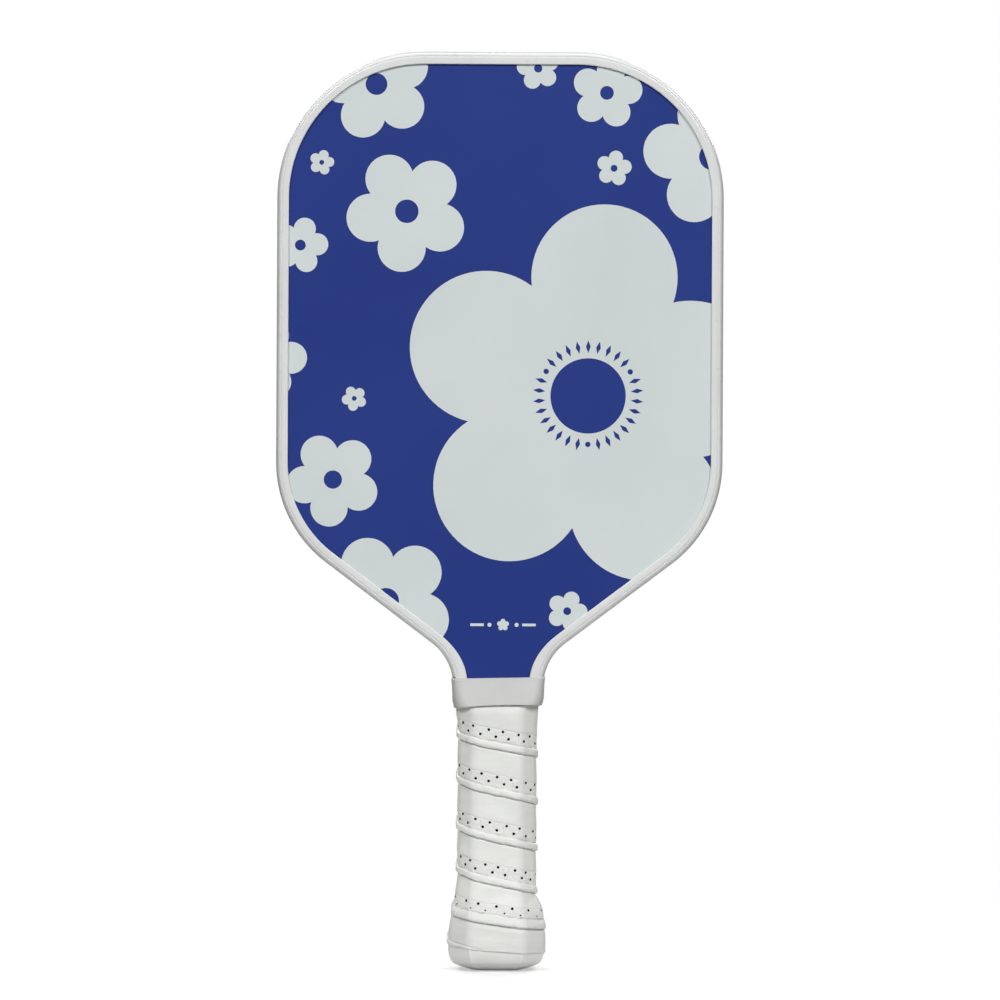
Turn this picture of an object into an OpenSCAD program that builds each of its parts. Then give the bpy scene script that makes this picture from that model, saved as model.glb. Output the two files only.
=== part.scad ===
// Pickleball paddle: honeycomb blade with printed faces, edge guard, collar and wound grip.
// Millimetres. Z runs from the butt end (z = 0) to the top edge, the front face looks
// towards -Y, and the blade is centred on the Z axis.

/* [Blade] */
// Overall length, butt end to top edge
length = 407; // [395:1:412]
// Overall width across the edge guard
width = 198; // [190:1:204]
// Radius of the two top corners
corner_r = 65; // [55:1:75]
// Radius of the two lower corners
shoulder_r = 56; // [46:1:60]
// Height of the centres of the lower corners
shoulder_z = 225; // [215:1:230]
// Angle from the straight side to the slope under it
shoulder_turn = 53; // [50:1:55]
// Radius of the hollow where the slope meets the neck
throat_r = 24; // [20:1:28]
// Half of the neck's width
neck_half = 20; // [19.5:0.1:20.5]

/* [Layers] */
// Thickness of the honeycomb core
core_t = 13; // [11:0.5:14]
// Distance across one honeycomb cell
cell_d = 12; // [10:1:20]
// Wall between two honeycomb cells
cell_wall = 1.2; // [0.8:0.1:2]
// Thickness of each bond film
bond_t = 0.1; // [0.05:0.05:0.2]
// Thickness of each face sheet
sheet_t = 0.5; // [0.4:0.1:0.8]
// Thickness of each blue graphic film
film_t = 0.15; // [0.1:0.05:0.25]
// Thickness of the white ink
ink_t = 0.07; // [0.05:0.01:0.1]

/* [Edge guard] */
// Width of the lip that the guard shows on each face
lip_w = 5.3; // [4:0.1:6]
// Extra lip width beside the collar
lip_extra = 1.1; // [0:0.1:2]
// Thickness of each lip
lip_t = 1.2; // [0.8:0.1:1.6]
// Thickness of the guard's outer wall
guard_wall = 2; // [1.6:0.1:2.2]

/* [Artwork] */
// Radius of a petal, as a share of the flower's radius
petal_r = 0.395; // [0.36:0.005:0.43]
// Radius of the flower's open centre, as a share of the flower's radius
eye_r = 0.193; // [0.1:0.005:0.25]
// Number of rays in each third of the large flower's ring
rays = 9; // [5:1:11]

/* [Handle] */
// Width of the bare handle
handle_w = 31.4; // [30:0.1:32]
// Depth of the bare handle, front to back
handle_d = 27.9; // [27:0.1:29]
// Width of the corner cut along each edge of the bare handle
handle_cut = 6.15; // [5.5:0.05:6.5]
// Half of the width of the tongue of the blade inside the handle
tongue_half = 12; // [10:0.5:13]
// How much the butt flares on each side
flare = 4; // [3:0.1:4.5]

/* [Grip] */
// Thickness of the grip tape
tape_t = 1.8; // [1.4:0.1:2]
// Drop of the wound tape in one turn
pitch = 19.6; // [18:0.1:22]
// Height of the collar's lower edge
collar_z = 116.7; // [116:0.1:117.5]
// Height of the collar
collar_h = 12.9; // [12.5:0.1:13.5]

/* [Hidden] */

// Arc centres of the right half of the outline
corner_c = [width/2 - corner_r, length - corner_r];
shoulder_c = [width/2 - shoulder_r, shoulder_z];
slope_top = shoulder_c + shoulder_r*[cos(shoulder_turn), -sin(shoulder_turn)];
throat_x = neck_half + throat_r;
throat_c = [throat_x, slope_top[1] - (throat_r
    - (throat_x - slope_top[0])*cos(shoulder_turn))/sin(shoulder_turn)];

// Stations along the right half of the outline
N_CORNER = 20;
N_SHOULDER = 12;
N_THROAT = 10;
LAST = N_CORNER + N_SHOULDER + N_THROAT + 2;

collar_top = collar_z + collar_h;
guard_end = collar_z + 6.1;      // lower ends of the guard, under the collar
blade_end = collar_z + 5.5;      // where the blade narrows to its tongue
tongue_end = 4;
blade_inset = guard_wall + 0.3;  // leaves room for the adhesive tape
bond_y = core_t/2;
sheet_y = bond_y + bond_t;
film_y = sheet_y + sheet_t;
ink_y = film_y + film_t;
lip_y = ink_y + ink_t + 0.03;    // underside of the guard's lips
guard_y = lip_y + lip_t;

taper_z = collar_z - 2.6;        // the handle slopes to the faces above this
taper = 0.457;                   // slope, depth per height
handle_top = collar_top - 1.6;
tape_top = collar_z + 2.8;
tape_low = 7.6;
cap_top = 33;
grip_gap = 0.08;

GUARD_WHITE = [0.85, 0.86, 0.855];
BLUE = [0.18, 0.25, 0.49];
INK = [0.81, 0.85, 0.85];

// Large and small flowers on the face: [x, z, radius, angle of one petal]
FLOWERS = [[39.2, 254.6, 86.5, 10.5], [-55.2, 392.3, 24.9, 31], [-41.5, 336, 27, 46.3],
    [-79.3, 357.5, 5.55, 3], [-88.6, 320.8, 12.4, 3], [-103.3, 270.3, 17.9, 3],
    [-64.4, 253, 5.55, 45], [-73.7, 217, 20.95, 46.5], [-49.9, 163.3, 29.9, 45],
    [16.4, 399.6, 9.6, 28], [46.9, 388.9, 15.8, 8], [50.2, 355.5, 7.9, 8],
    [93.8, 360.8, 30.8, 28.6], [30.4, 159.2, 9, 70]];
// Petals of the large flower, which is drawn a little uneven: [x, z, radius]
LARGE_PETALS = [[84.4, 262.2, 34.8], [46.2, 307.1, 32.4], [-6.1, 276, 33.8],
    [4.5, 214.9, 33.7], [64.4, 206.5, 33.6]];
ART_INSET = lip_w - 1.2;

// ---------- outline ----------

// Point k of the right half of the outline, moved in by d
function rim(k, d) =
    k <= N_CORNER ? corner_c + (corner_r - d)*[sin(90*k/N_CORNER), cos(90*k/N_CORNER)]
    : k <= N_CORNER + N_SHOULDER + 1 ?
        let (a = shoulder_turn*(k - N_CORNER - 1)/N_SHOULDER)
        shoulder_c + (shoulder_r - d)*[cos(a), -sin(a)]
    : let (end = 180 - asin((collar_top + 0.3 - throat_c[1])/throat_r),
        start = 180 - shoulder_turn,
        a = start + (end - start)*(k - N_CORNER - N_SHOULDER - 2)/N_THROAT)
        throat_c + (throat_r + d)*[cos(a), sin(a)];

// Point of the neck's side at height z, moved in by d
function neck(z, d) = [throat_c[0]
    - sqrt(pow(throat_r + d, 2) - pow(max(0, z - throat_c[1]), 2)), z];

function flip(path) = [for (i = [len(path) - 1:-1:0]) [-path[i][0], path[i][1]]];

// Right side of the outline moved in by d, down to the collar or down the neck to height z
function rims(d) = [for (k = [0:LAST]) rim(k, d)];
function side(d, z) = concat(rims(d), [neck(throat_c[1], d), [neck(z, d)[0], z]]);

// Half width of the blade at height z, moved in by d, above the slope's lower part
function half_width(z, d) =
    z > corner_c[1] ? corner_c[0] + sqrt(max(0, pow(corner_r - d, 2) - pow(z - corner_c[1], 2)))
    : z > shoulder_z ? width/2 - d
    : z > shoulder_z - (shoulder_r - d)*sin(shoulder_turn) ?
        shoulder_c[0] + sqrt(pow(shoulder_r - d, 2) - pow(z - shoulder_z, 2))
    : slope_top[0] - d/cos(shoulder_turn) - (slope_top[1] - z)*tan(shoulder_turn);

module blade_shape() {
    half = concat(side(blade_inset, blade_end), [[tongue_half, blade_end], [tongue_half, tongue_end]]);
    polygon(concat(half, flip(half)));
}

module face_shape(d, z) polygon(concat(side(d, z), flip(side(d, z))));

// A plate standing in the XZ plane from depth y0 to depth y1
module plate(y0, y1) translate([0, y1, 0]) rotate([90, 0, 0]) linear_extrude(y1 - y0) children();

// ---------- blade ----------

module honeycomb_core() {
    step = cell_d + cell_wall;
    rows = ceil(length/(step*sin(60)));
    cols = ceil(width/step);
    reach = cell_d/sqrt(3) + 3;
    low = blade_end + 40;
    color("gainsboro") plate(-bond_y, bond_y) difference() {
        blade_shape();
        for (r = [0:rows], c = [-cols:cols])
            let (x = (c + (r % 2)/2)*step, z = low + r*step*sin(60))
                if (z < length - blade_inset - reach
                    && abs(x) < min(half_width(z + reach, blade_inset),
                        half_width(z - reach, blade_inset)) - reach)
                    translate([x, z]) rotate(30) circle(r = cell_d/sqrt(3), $fn = 6);
    }
}

module layer(y0, y1) plate(y0, y1) blade_shape();

module front_bond_film() color("khaki") layer(-sheet_y, -bond_y);
module back_bond_film() color("khaki") layer(bond_y, sheet_y);
module front_face_sheet() color("dimgray") layer(-film_y, -sheet_y);
module back_face_sheet() color("dimgray") layer(sheet_y, film_y);
module front_graphic_film() color(BLUE) plate(-ink_y, -film_y) face_shape(blade_inset, blade_end);
module back_graphic_film() color(BLUE) plate(film_y, ink_y) face_shape(blade_inset, blade_end);

// Five round petals about a filled middle
module flower(f) {
    translate([f[0], f[1]]) {
        circle(r = 0.5*f[2], $fn = 96);
        for (k = [0:4]) rotate(f[3] + 72*k)
            translate([(1 - petal_r)*f[2], 0]) circle(r = petal_r*f[2], $fn = 96);
    }
}

// A pointed ray between the radii r0 and r1
module ray(r0, r1) {
    m = (r0 + r1)/2;
    polygon([[r0, 0], [m, 1.05], [r1, 0], [m, -1.05]]);
}

module eyes() {
    for (f = FLOWERS) translate([f[0], f[1]]) circle(r = eye_r*f[2], $fn = 96);
    // A ring of rays and dots about the large flower's middle
    translate([FLOWERS[0][0], FLOWERS[0][1]]) for (t = [0:2]) rotate(30 + 120*t) {
        translate([21.5, 0]) circle(r = 1.2, $fn = 24);
        for (i = [1:rays]) rotate(120*i/(rays + 1)) ray(19, 24.6);
    }
}

// A small flower between two bars, at the foot of the face
module neck_motif() translate([2, 153]) {
    flower([0, 0, 2.7, 90]);
    for (s = [-1, 1]) {
        translate([s*6, 0]) circle(r = 0.9, $fn = 24);
        translate([s*11.5 - 3, -0.6]) square([6, 1.2]);
    }
}

module artwork() {
    difference() {
        intersection() {
            face_shape(ART_INSET, collar_top + 2);
            union() {
                for (i = [1:len(FLOWERS) - 1]) flower(FLOWERS[i]);
                for (p = LARGE_PETALS) translate([p[0], p[1]]) circle(r = p[2], $fn = 96);
                translate([FLOWERS[0][0], FLOWERS[0][1]])
                    circle(r = 0.5*FLOWERS[0][2], $fn = 96);
            }
        }
        eyes();
    }
    neck_motif();
}

module front_flower_print() color(INK) plate(-ink_y - ink_t, -ink_y) artwork();
module back_flower_print() color(INK) rotate([0, 0, 180]) plate(-ink_y - ink_t, -ink_y) artwork();

// ---------- lofts ----------

function reversed(list) = [for (i = [len(list) - 1:-1:0]) list[i]];

// Skins a stack of rings that all have the same number of points. Looped stacks close on
// their first ring. The others are closed at each end by the convex pieces of the ring
// that ends lists, or by the whole ring.
module loft(rings, ends = [], looped = false) {
    n = len(rings[0]);
    m = len(rings);
    wall = [for (i = [0:m - (looped ? 1 : 2)], j = [0:n - 1])
        let (a = i*n + j, b = i*n + (j + 1) % n, up = ((i + 1) % m - i)*n)
            each [[a, a + up, b + up], [a, b + up, b]]];
    pieces = len(ends) ? ends : [[for (j = [0:n - 1]) j]];
    caps = looped ? [] : [for (piece = pieces)
        each [piece, [for (j = reversed(piece)) (m - 1)*n + j]]];
    polyhedron([for (ring = rings) each ring], concat(wall, caps), convexity = 10);
}

// Section of the guard: [inset, depth] round the channel
GUARD_HALF = [[0, 0], [0, 0.6*guard_y], [0.28, 0.78*guard_y], [0.9, 0.9*guard_y],
    [1.75, guard_y - 0.12], [2.1, guard_y - 0.3], [2.45, guard_y - 0.06],
    [lip_w - 0.6, guard_y], [lip_w - 0.12, guard_y - 0.25], [lip_w, lip_y],
    [guard_wall, lip_y]];
GUARD_SECTION = concat(GUARD_HALF,
    [for (i = [len(GUARD_HALF) - 1:-1:1]) [GUARD_HALF[i][0], -GUARD_HALF[i][1]]]);
GUARD_ENDS = [[0, 1, 10], [0, 10, 11], [0, 11, 20], [1, 2, 3, 4, 5, 10],
    [5, 6, 7, 8, 9, 10], [11, 12, 13, 14, 15, 16], [11, 16, 17, 18, 19, 20]];

// Stations of the guard: along the outline, then down the neck under the collar
NECK_Z = [collar_top + 0.05, collar_top - 3.5, guard_end];
NECK_THIN = [0.75, 0.95, 1.25];

// Wider lip towards the neck, for the points inside the wall
function lip_grow(k, d) = let (t = min(1, max(0, (k - LAST + N_THROAT)/N_THROAT)))
    d > guard_wall + 0.2 ? lip_extra*t*t*(3 - 2*t)*(d - guard_wall)/(lip_w - guard_wall) : 0;

function guard_ring(k) = [for (s = GUARD_SECTION)
    let (d = s[0] + lip_grow(k, s[0]),
        p = k <= LAST ? rim(k, d)
            : let (i = k - LAST - 1, thin = NECK_THIN[i])
                neck(NECK_Z[i], d < guard_wall ? thin + d*(1 - thin/guard_wall) : d))
        [p[0], s[1], p[1]]];

module edge_guard() {
    right = [for (k = [LAST + len(NECK_Z):-1:0]) guard_ring(k)];
    left = [for (k = [0:LAST + len(NECK_Z)]) [for (p = guard_ring(k)) [-p[0], p[1], p[2]]]];
    color(GUARD_WHITE) loft(concat(right, left), GUARD_ENDS);
}

module edge_guard_tape() {
    outer = rims(guard_wall + 0.02);
    inner = rims(blade_inset - 0.02);
    color("lightyellow") plate(-0.9*bond_y, 0.9*bond_y)
        polygon(concat(flip(outer), outer, reversed(inner), reversed(flip(inner))));
}

// ---------- handle ----------

// Corner i of an octagon with half sizes a and b and corner cut c, rounded with radius r:
// the point at share f of the corner's arc
function oct_pt(i, f, a, b, c, r) =
    let (q = floor(i/2), odd = i % 2,
        sx = (q == 0 || q == 3) ? 1 : -1, sy = q < 2 ? 1 : -1,
        flat = (q % 2 == 0) == (odd == 0),
        p = flat ? [sx*a, sy*(b - c)] : [sx*(a - c), sy*b],
        m = 45*i + 22.5)
    p - r/cos(22.5)*[cos(m), sin(m)] + r*[cos(45*(i + f)), sin(45*(i + f))];

// Flare of the butt at height z, added to the handle all round
function flare_at(z) = z >= 14 ? flare*(0.5 + 0.5*cos(180*min(1, (z - 14)/25)))
    : flare + 0.3*min(1, (14 - z)/6.5);

// How far the front of the handle has sloped back at height z
function slope_at(z) = taper*max(0, z - taper_z);

// Point of the handle's surface at height z, moved out by off. The tape starts to follow
// the slope a little higher up than the handle, because it can't bend sharply.
function grip_pt(i, f, z, off) =
    let (e = flare_at(z) + off, s = slope_at(z - 1.6),
        p = oct_pt(i, f, handle_w/2 + e, handle_d/2 - s + e,
            handle_cut - s + (2 - sqrt(2))*e, 0.8 + max(0, off)))
    [p[0], p[1], z];

// Ring round the handle at height z, moved out by off
function hoop(z, off) = [for (i = [0:7], j = [0:2]) grip_pt(i, j/2, z, off)];

function oct_ring(z, a, b, c, r) = [for (i = [0:7], j = [0:2])
    let (p = oct_pt(i, j/2, a, b, c, r)) [p[0], p[1], z]];

module handle_half() difference() {
    intersection() {
        translate([0, 0, tongue_end]) linear_extrude(handle_top - tongue_end)
            polygon([for (i = [0:7]) oct_pt(i, 0, handle_w/2, handle_d/2, handle_cut, 0)]);
        translate([-handle_w/2, 0, 0]) rotate([90, 0, 90]) linear_extrude(handle_w)
            polygon([[0, tongue_end], [handle_d/2, tongue_end], [handle_d/2, taper_z],
                [handle_d/2 - slope_at(handle_top), handle_top], [0, handle_top]]);
    }
    translate([-tongue_half, -1, 0]) cube([2*tongue_half, film_y + 1, length/3]);
    translate([-width/2, -1, blade_end]) cube([width, ink_y + 1, length/3]);
    for (s = [-1, 1]) translate([s*width/2 + s*(neck_half - lip_w - lip_extra - 0.4) - width/2,
        -1, blade_end]) cube([width, handle_d, length/3]);
}

module handle_half_back() color("burlywood") handle_half();
module handle_half_front() color("burlywood") rotate([0, 0, 180]) handle_half();

// Heights and flares of the cap's outside, from the flat end up
CAP_PROFILE = [[0, -4.9], [0.5, -3.6], [2.9, 2.9], [3.8, 3.7], [5.2, 4.6], [6.6, 5]];

module butt_cap() {
    low = [for (p = CAP_PROFILE) oct_ring(p[0], handle_w/2 + p[1], handle_d/2 + p[1],
        handle_cut + (2 - sqrt(2))*p[1], 0.9)];
    high = [for (z = [7.5, 10, 14, 17, 20, 23, 26, 29, cap_top]) hoop(z, 0)];
    pocket = [for (z = [cap_top, tongue_end - 0.1])
        oct_ring(z, handle_w/2 + 0.1, handle_d/2 + 0.1, handle_cut + 0.06, 0.3)];
    color(GUARD_WHITE) loft(concat(low, high, pocket));
}

// ---------- grip ----------

// Turns of tape from the left front edge, at corner i of the handle: half of each turn's
// drop lies across the front, which is the shorter way round
front_way = handle_w - 2*handle_cut + 2*handle_cut*sqrt(2);
back_way = front_way + 2*(handle_d - 2*handle_cut);
WAY = [0, handle_cut*sqrt(2), front_way - handle_cut*sqrt(2), front_way];
function turn_at(i) = i < 4 ? 0.5*WAY[i]/front_way
    : 0.5 + 0.5*(handle_d - 2*handle_cut + WAY[i - 4])/back_way;

// Height of the crease between two turns, after u turns. The turns close up at the butt,
// and the last one runs up behind the collar round the back.
function crease(u) = let (v = max(0, u - 4), w = min(1, max(0, -2*u)))
    collar_z - 13.8 - pitch*u + v*(pitch - 14.2) + 2*v*v + 9*w*w*(3 - 2*w);

// Height of share p of the tape's width at turn u, kept between its trimmed edges
function tape_z(u, p) = let (z = crease(u)*(1 - p) + crease(u + 1)*p)
    max(tape_low + 0.3*(1 - p), min(tape_top - 0.3*p, z));

// The tape's inner side stands off a little where it bends over the edge of the slope
function stand_off(z, h) = h > grip_gap ? 0 : 0.45*min(1, max(0, (z - taper_z + 4)/4));

// Rings of a strip wound from turn u0 to turn u1 with a section of [share of width, height]
function wound(u0, u1, section) = [for (t = [floor(u0):ceil(u1)], i = [0:7], j = [0:2])
    let (u = t + turn_at(i) + (j - 1)*0.004)
    if (u >= u0 && u <= u1) [for (s = section) let (z = tape_z(u, s[0]))
        grip_pt((i + 4) % 8, j/2, z, s[1] + stand_off(z, s[1]))]];

// Smooth band, sunken pierced strip and raised rib, over a groove for the rib's cord
TAPE = [for (s = [[0.012, 0.55], [0.035, 0.9], [0.1, 1], [0.58, 1], [0.6, 0.84], [0.82, 0.86],
    [0.845, 1.13], [0.9, 1.24], [0.955, 1.13], [0.988, 0.75], [0.988, 0], [0.95, 0],
    [0.945, 0.42], [0.9, 0.58], [0.855, 0.42], [0.85, 0], [0.64, 0], [0.53, 0], [0.43, 0],
    [0.22, 0], [0.012, 0]])
    [s[0], grip_gap + s[1]*tape_t]];
TAPE_ENDS = [[0, 1, 2, 19, 20], [2, 3, 18, 19], [3, 17, 18], [3, 16, 17], [3, 4, 16],
    [4, 5, 15, 16], [5, 6, 14, 15],
    [6, 7, 13, 14], [7, 8, 12, 13], [8, 9, 10, 11, 12]];
CORD = [for (s = [[0.868, 0.65], [0.9, 0.95], [0.932, 0.65], [0.94, 0.05], [0.86, 0.05]])
    [s[0], grip_gap + s[1]]];

module grip_tape() color("whitesmoke") loft(wound(-1.4, 4.95, TAPE), TAPE_ENDS);
module grip_rib_cord() color("silver") loft(wound(-0.8, 4.45, CORD));

module finishing_tape() {
    heights = [collar_z + 0.3, tape_top + 0.2, blade_end - 0.4];
    low = grip_gap + 1.25*tape_t;
    color("white") loft(concat([for (z = heights) hoop(z, low + 0.22)],
        [for (z = reversed(heights)) hoop(z, low)]), looped = true);
}

module collar() {
    wall = 0.9;
    function ring(t, w) = oct_ring(collar_z + collar_h*t, 19.15 + 1.35*t - w, 17.2 - 6.4*t - w,
        7.1 - 4.7*t - 0.586*w, 4 - w);
    outer = [for (t = [0, 0.5, 0.96, 1]) ring(t, t == 1 ? 0.25 : 0)];
    inner = [for (t = [1, 0.5, 0]) ring(t, wall)];
    color([0.8, 0.8, 0.79]) loft(concat(outer, inner), looped = true);
}

honeycomb_core();
front_bond_film();
back_bond_film();
front_face_sheet();
back_face_sheet();
front_graphic_film();
back_graphic_film();
front_flower_print();
back_flower_print();
edge_guard_tape();
edge_guard();
handle_half_front();
handle_half_back();
butt_cap();
grip_tape();
grip_rib_cord();
finishing_tape();
collar();
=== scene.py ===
import math

import bpy
import numpy as np
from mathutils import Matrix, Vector, noise


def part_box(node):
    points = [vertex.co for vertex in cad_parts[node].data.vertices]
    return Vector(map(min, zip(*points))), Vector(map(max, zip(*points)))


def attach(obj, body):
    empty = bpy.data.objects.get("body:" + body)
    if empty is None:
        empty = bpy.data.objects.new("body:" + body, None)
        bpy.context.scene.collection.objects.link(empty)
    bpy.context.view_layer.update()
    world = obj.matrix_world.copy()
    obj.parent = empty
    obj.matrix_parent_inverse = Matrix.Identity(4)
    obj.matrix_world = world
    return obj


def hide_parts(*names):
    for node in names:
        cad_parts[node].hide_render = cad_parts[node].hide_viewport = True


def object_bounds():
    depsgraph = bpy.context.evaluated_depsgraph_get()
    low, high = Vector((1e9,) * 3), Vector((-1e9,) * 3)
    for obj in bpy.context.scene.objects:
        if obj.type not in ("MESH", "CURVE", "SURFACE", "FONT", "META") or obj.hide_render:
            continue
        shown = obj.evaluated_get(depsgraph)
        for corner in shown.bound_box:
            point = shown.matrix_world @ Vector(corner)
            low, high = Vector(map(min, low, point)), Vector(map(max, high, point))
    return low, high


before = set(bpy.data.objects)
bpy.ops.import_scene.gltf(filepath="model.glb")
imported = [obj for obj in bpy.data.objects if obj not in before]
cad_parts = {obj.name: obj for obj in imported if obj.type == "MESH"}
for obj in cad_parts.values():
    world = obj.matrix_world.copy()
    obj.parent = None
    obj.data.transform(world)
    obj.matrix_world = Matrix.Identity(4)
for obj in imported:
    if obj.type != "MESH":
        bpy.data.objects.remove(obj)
cad_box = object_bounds()

MM = 0.001
BODY = "root"                 # the paddle's only body

# ---------------------------------------------------------------- the frame's sizes

LENGTH = cad_box[1].z
HALF_WIDTH = (cad_box[1].x - cad_box[0].x) / 2
GUARD_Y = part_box("edge_guard")[1].y             # outside of the guard's lips
FACE_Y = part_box("back_graphic_film")[1].y       # outside of the printed film
COLLAR_LO, COLLAR_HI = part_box("collar")
COLLAR_Z, COLLAR_TOP = COLLAR_LO.z, COLLAR_HI.z
COLLAR_DEPTH = COLLAR_HI.y                      # half its depth at the lower edge
HANDLE_HALF_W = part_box("handle_half_back")[1].x
HANDLE_HALF_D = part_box("handle_half_back")[1].y
TAPE_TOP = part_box("grip_tape")[1].z

# The blade's outline, as in the CAD: three arcs to a side, joined by straight runs
CORNER_R = 65 * MM
SHOULDER_R = 56 * MM
SHOULDER_Z = 225 * MM         # centre of the shoulder's arc
SHOULDER_TURN = math.radians(53)
THROAT_R = 24 * MM
NECK_HALF = 20 * MM           # half width at the collar
LIP = 5.3 * MM                # width of the guard's lips
LIP_EXTRA = 1.1 * MM          # extra width beside the collar
LIP_TOP = 0.5 * MM            # extra width at the top


# ---------------------------------------------------------------- mesh helpers

def add_mesh(name, verts, faces, materials, face_slots=None, sharp=35, slot=None, stands_for=()):
    """A smooth shaded piece that rides on the paddle's only body."""
    mesh = bpy.data.meshes.new(name)
    mesh.from_pydata([tuple(v) for v in verts], [], [tuple(map(int, f)) for f in faces])
    for material in materials:
        mesh.materials.append(material)
    if face_slots is not None:
        mesh.polygons.foreach_set("material_index", np.asarray(face_slots, np.int32))
    mesh.shade_smooth()
    mesh.set_sharp_from_angle(angle=math.radians(sharp))
    mesh.validate()
    piece = bpy.data.objects.new(name, mesh)
    bpy.context.collection.objects.link(piece)
    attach(piece, BODY)
    if stands_for:
        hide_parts(*stands_for)
    return piece


def grid_faces(rows, cols, wrap_rows=False, wrap_cols=False, start=0):
    """Quads of a grid of points stored row by row."""
    faces = []
    for i in range(rows if wrap_rows else rows - 1):
        for j in range(cols if wrap_cols else cols - 1):
            i1, j1 = (i + 1) % rows, (j + 1) % cols
            faces.append((start + i * cols + j, start + i * cols + j1,
                          start + i1 * cols + j1, start + i1 * cols + j))
    return faces


def smooth(t):
    """Rises gently from 0 at t = 0 to 1 at t = 1."""
    t = np.clip(t, 0, 1)
    return t * t * (3 - 2 * t)


def ripple(x, y, seed):
    """Smooth noise from -1 to 1 at x and each y, the same in each run."""
    if np.ndim(y) == 0:
        return noise.noise(Vector((float(x), float(y), seed)))
    return np.array([noise.noise(Vector((float(x), float(v), seed))) for v in y])


# ---------------------------------------------------------------- materials

def new_material(name, color, roughness, coat=0.0, coat_roughness=0.1, specular=0.5,
                 sheen=0.0, subsurface=0.0):
    """Principled material with plain values; the functions below vary them."""
    mat = bpy.data.materials.new(name)
    mat.use_nodes = True
    bsdf = mat.node_tree.nodes["Principled BSDF"]
    bsdf.inputs["Base Color"].default_value = (*color, 1)
    bsdf.inputs["Roughness"].default_value = roughness
    bsdf.inputs["Specular IOR Level"].default_value = specular
    bsdf.inputs["Coat Weight"].default_value = coat
    bsdf.inputs["Coat Roughness"].default_value = coat_roughness
    bsdf.inputs["Sheen Weight"].default_value = sheen
    bsdf.inputs["Subsurface Weight"].default_value = subsurface
    bsdf.inputs["Subsurface Scale"].default_value = 0.002
    return mat


def noise_of(mat, scale, detail=4.0, stretch=(1, 1, 1), kind="ShaderNodeTexNoise"):
    """Output of a noise texture in object space, scale in cycles per metre."""
    nodes, links = mat.node_tree.nodes, mat.node_tree.links
    coords = nodes.new("ShaderNodeTexCoord")
    mapping = nodes.new("ShaderNodeMapping")
    mapping.inputs["Scale"].default_value = tuple(scale * s for s in stretch)
    texture = nodes.new(kind)
    texture.inputs["Scale"].default_value = 1
    if kind == "ShaderNodeTexNoise":
        texture.inputs["Detail"].default_value = detail
    links.new(coords.outputs["Object"], mapping.inputs["Vector"])
    links.new(mapping.outputs["Vector"], texture.inputs["Vector"])
    return texture.outputs["Distance" if kind == "ShaderNodeTexVoronoi" else 0]


def ramp(mat, source, low, high, a, b):
    """Maps low..high of source to a..b, clamped."""
    node = mat.node_tree.nodes.new("ShaderNodeMapRange")
    node.inputs["From Min"].default_value = low
    node.inputs["From Max"].default_value = high
    node.inputs["To Min"].default_value = a
    node.inputs["To Max"].default_value = b
    mat.node_tree.links.new(source, node.inputs["Value"])
    return node.outputs["Result"]


def vary_color(mat, source, dark, light, low=0.35, high=0.65):
    """Base colour that wanders between two close shades."""
    nodes, links = mat.node_tree.nodes, mat.node_tree.links
    mix = nodes.new("ShaderNodeMix")
    mix.data_type = "RGBA"
    mix.inputs["A"].default_value = (*dark, 1)
    mix.inputs["B"].default_value = (*light, 1)
    links.new(ramp(mat, source, low, high, 0, 1), mix.inputs["Factor"])
    links.new(mix.outputs["Result"], nodes["Principled BSDF"].inputs["Base Color"])


def vary_roughness(mat, source, a, b, low=0.3, high=0.7):
    """Roughness that wanders between a and b."""
    links = mat.node_tree.links
    links.new(ramp(mat, source, low, high, a, b),
              mat.node_tree.nodes["Principled BSDF"].inputs["Roughness"])


def paint_shade_low(mat, tone, z_low, z_high):
    """Painted shade: turn the colour down to tone below z_low, where less light falls on the grip.
    """
    nodes, links = mat.node_tree.nodes, mat.node_tree.links
    base = nodes["Principled BSDF"].inputs["Base Color"]
    coords = nodes.new("ShaderNodeTexCoord")
    split = nodes.new("ShaderNodeSeparateXYZ")
    links.new(coords.outputs["Object"], split.inputs[0])
    mix = nodes.new("ShaderNodeVectorMath")
    mix.operation = "SCALE"
    links.new(base.links[0].from_socket, mix.inputs[0])
    links.new(ramp(mat, split.outputs["Z"], z_low, z_high, tone, 1), mix.inputs["Scale"])
    links.new(mix.outputs["Vector"], base)


def add_bump(mat, source, strength, distance):
    """Adds one more layer of relief over those the material has."""
    nodes, links = mat.node_tree.nodes, mat.node_tree.links
    bsdf = nodes["Principled BSDF"]
    bump = nodes.new("ShaderNodeBump")
    bump.inputs["Strength"].default_value = strength
    bump.inputs["Distance"].default_value = distance
    links.new(source, bump.inputs["Height"])
    if bsdf.inputs["Normal"].links:
        links.new(bsdf.inputs["Normal"].links[0].from_socket, bump.inputs["Normal"])
    links.new(bump.outputs["Normal"], bsdf.inputs["Normal"])


GRAIN = 2600                  # scale of the fine grain of the printed faces
PAINTED_SHADE_LOW, PAINTED_SHADE_HIGH = 20 * MM, 38 * MM       # painted shade: the tape is a little darker below these heights
PAINTED_SHADE_TONE = 0.9


def film_material():
    """Printed blue film: smooth, with a faint waviness."""
    mat = new_material("blue_film", (0.0135, 0.036, 0.228), 0.5, coat=0.04, coat_roughness=0.35,
                       specular=0.2)
    vary_color(mat, noise_of(mat, 9, 3), (0.012, 0.033, 0.216), (0.015, 0.039, 0.240))
    vary_roughness(mat, noise_of(mat, 60, 4), 0.44, 0.56)
    add_bump(mat, noise_of(mat, GRAIN, 2), 0.10, 0.05 * MM)
    add_bump(mat, noise_of(mat, 45, 2), 0.05, 0.3 * MM)
    return mat


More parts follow.
